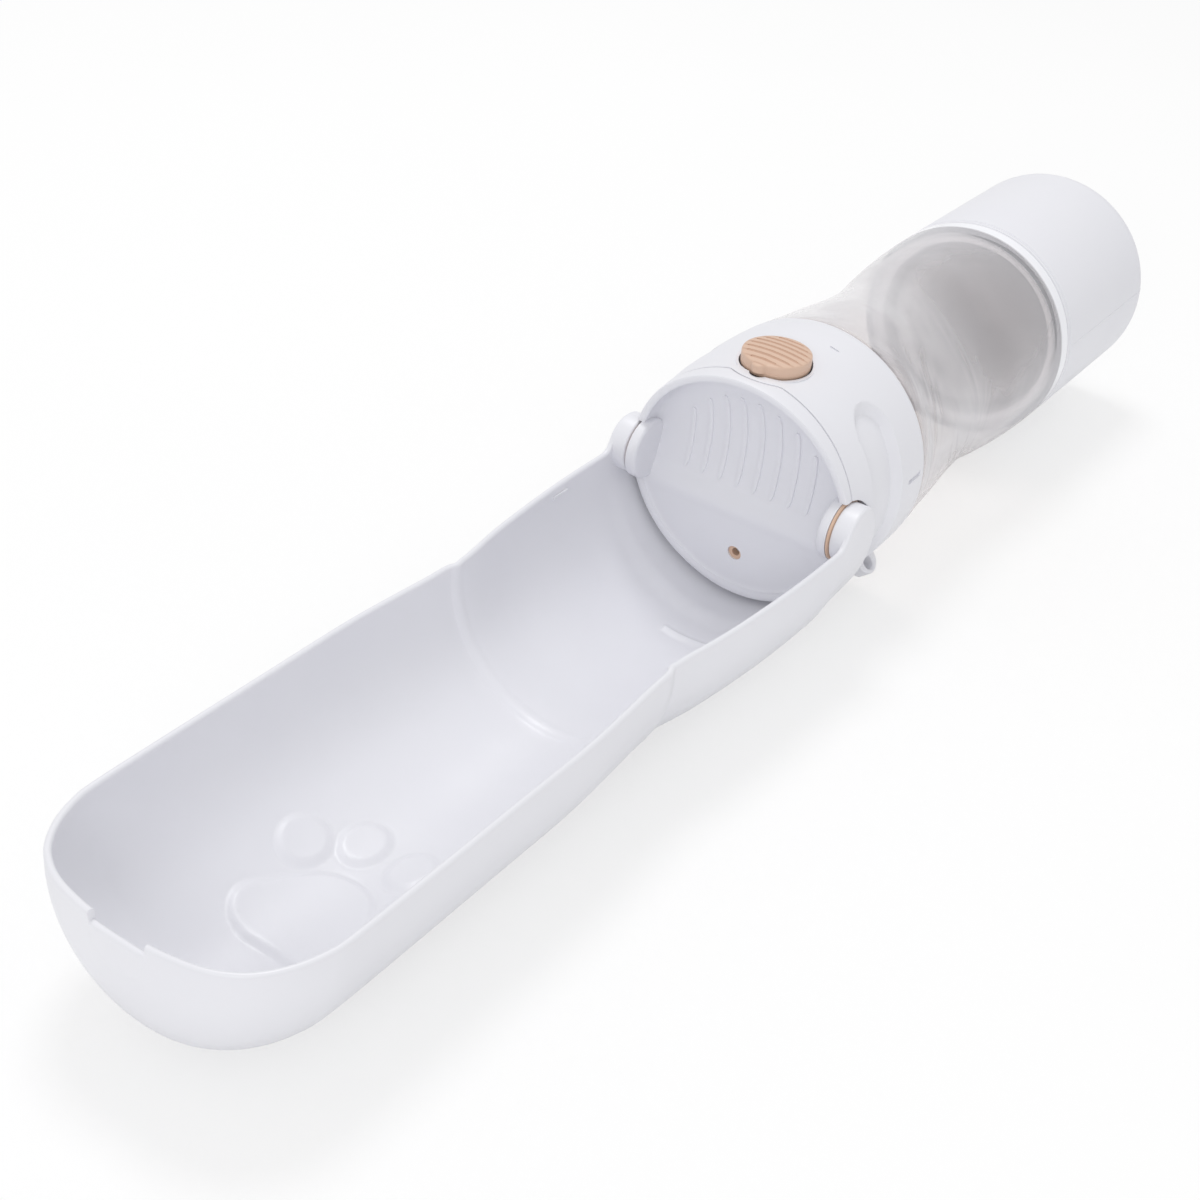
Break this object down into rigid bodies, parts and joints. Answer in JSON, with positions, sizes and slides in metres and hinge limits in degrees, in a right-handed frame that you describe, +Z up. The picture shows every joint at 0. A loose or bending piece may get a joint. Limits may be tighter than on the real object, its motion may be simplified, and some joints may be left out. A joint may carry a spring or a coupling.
{
  "type": "dog travel water bottle",
  "caption": "Travel water bottle for dogs with a clear waisted bottle, a head with push-button valve and dish, a fold-out drinking trough and a screw-on food cup.",
  "frame": {"origin": "centre of the whole object's footprint, at the height of the trough's underside, trough laid open", "axes": "+X along the bottle towards the base of the food cup, +Z up, towards the push button and the trough's open side, +Y across"},
  "size_m": [0.447, 0.0794, 0.0822],
  "materials": {
    "shell_white": "fine satin moulded",
    "cup_white": "satin moulded",
    "clear_body": "clear polished",
    "tan_button": "satin",
    "tan_silicone": "matt silicone",
    "inner_plastic": "matt moulded",
    "stem_plastic": "smooth turned",
    "steel": "bright wire"
  },
  "bodies": {
    "head": {"head_shell": "shell_white", "front_bowl": "shell_white", "valve_housing": "inner_plastic", "housing_gasket": "tan_silicone", "housing_screws": "steel", "housing_plug": "inner_plastic", "outlet_seal": "tan_silicone", "vent_valve": "tan_silicone", "stem_guide": "tan_silicone", "pivot_ring_near": "tan_silicone", "pivot_ring_far": "tan_silicone"},
    "trough": {"trough": "shell_white"},
    "button": {"button_cap": "tan_button", "valve_stem": "stem_plastic", "valve_spool": "stem_plastic", "spool_seals": "tan_silicone", "stem_clip": "steel", "return_spring": "steel"},
    "bottle_seal": {"neck_gasket": "tan_silicone"},
    "bottle": {"bottle": "clear_body"},
    "cup_seal": {"cup_gasket": "tan_silicone"},
    "food_cup": {"base_cup": "cup_white"}
  },
  "joints": [
    {"name": "trough_fold", "type": "hinge", "parent": "head", "child": "trough", "pos_m": [0.011, 0, 0.043], "axis": [0, 1, 0], "range_deg": [0, 180]},
    {"name": "button_press", "type": "slide", "parent": "head", "child": "button", "axis": [0, 0, -1], "range_m": [0, 0.003], "stiffness_N_per_m": 900, "springref_m": -0.002, "deforming": ["return_spring"]},
    {"name": "bottle_turn", "type": "hinge", "parent": "head", "child": "bottle_seal", "pos_m": [0.071, 0, 0.042], "axis": [1, 0, 0], "range_deg": [0, 720]},
    {"name": "bottle_slide", "type": "slide", "parent": "bottle_seal", "child": "bottle", "axis": [1, 0, 0], "range_m": [0, 0.00402]},
    {"name": "cup_turn", "type": "hinge", "parent": "bottle", "child": "cup_seal", "pos_m": [0.161, 0, 0.042], "axis": [1, 0, 0], "range_deg": [0, 612]},
    {"name": "cup_slide", "type": "slide", "parent": "cup_seal", "child": "food_cup", "axis": [1, 0, 0], "range_m": [0, 0.00342]}
  ],
  "couplings": [
    {"joint": "bottle_slide", "follows": "bottle_turn", "m_per_rad": 0.00031831},
    {"joint": "cup_slide", "follows": "cup_turn", "m_per_rad": 0.00031831}
  ]
}
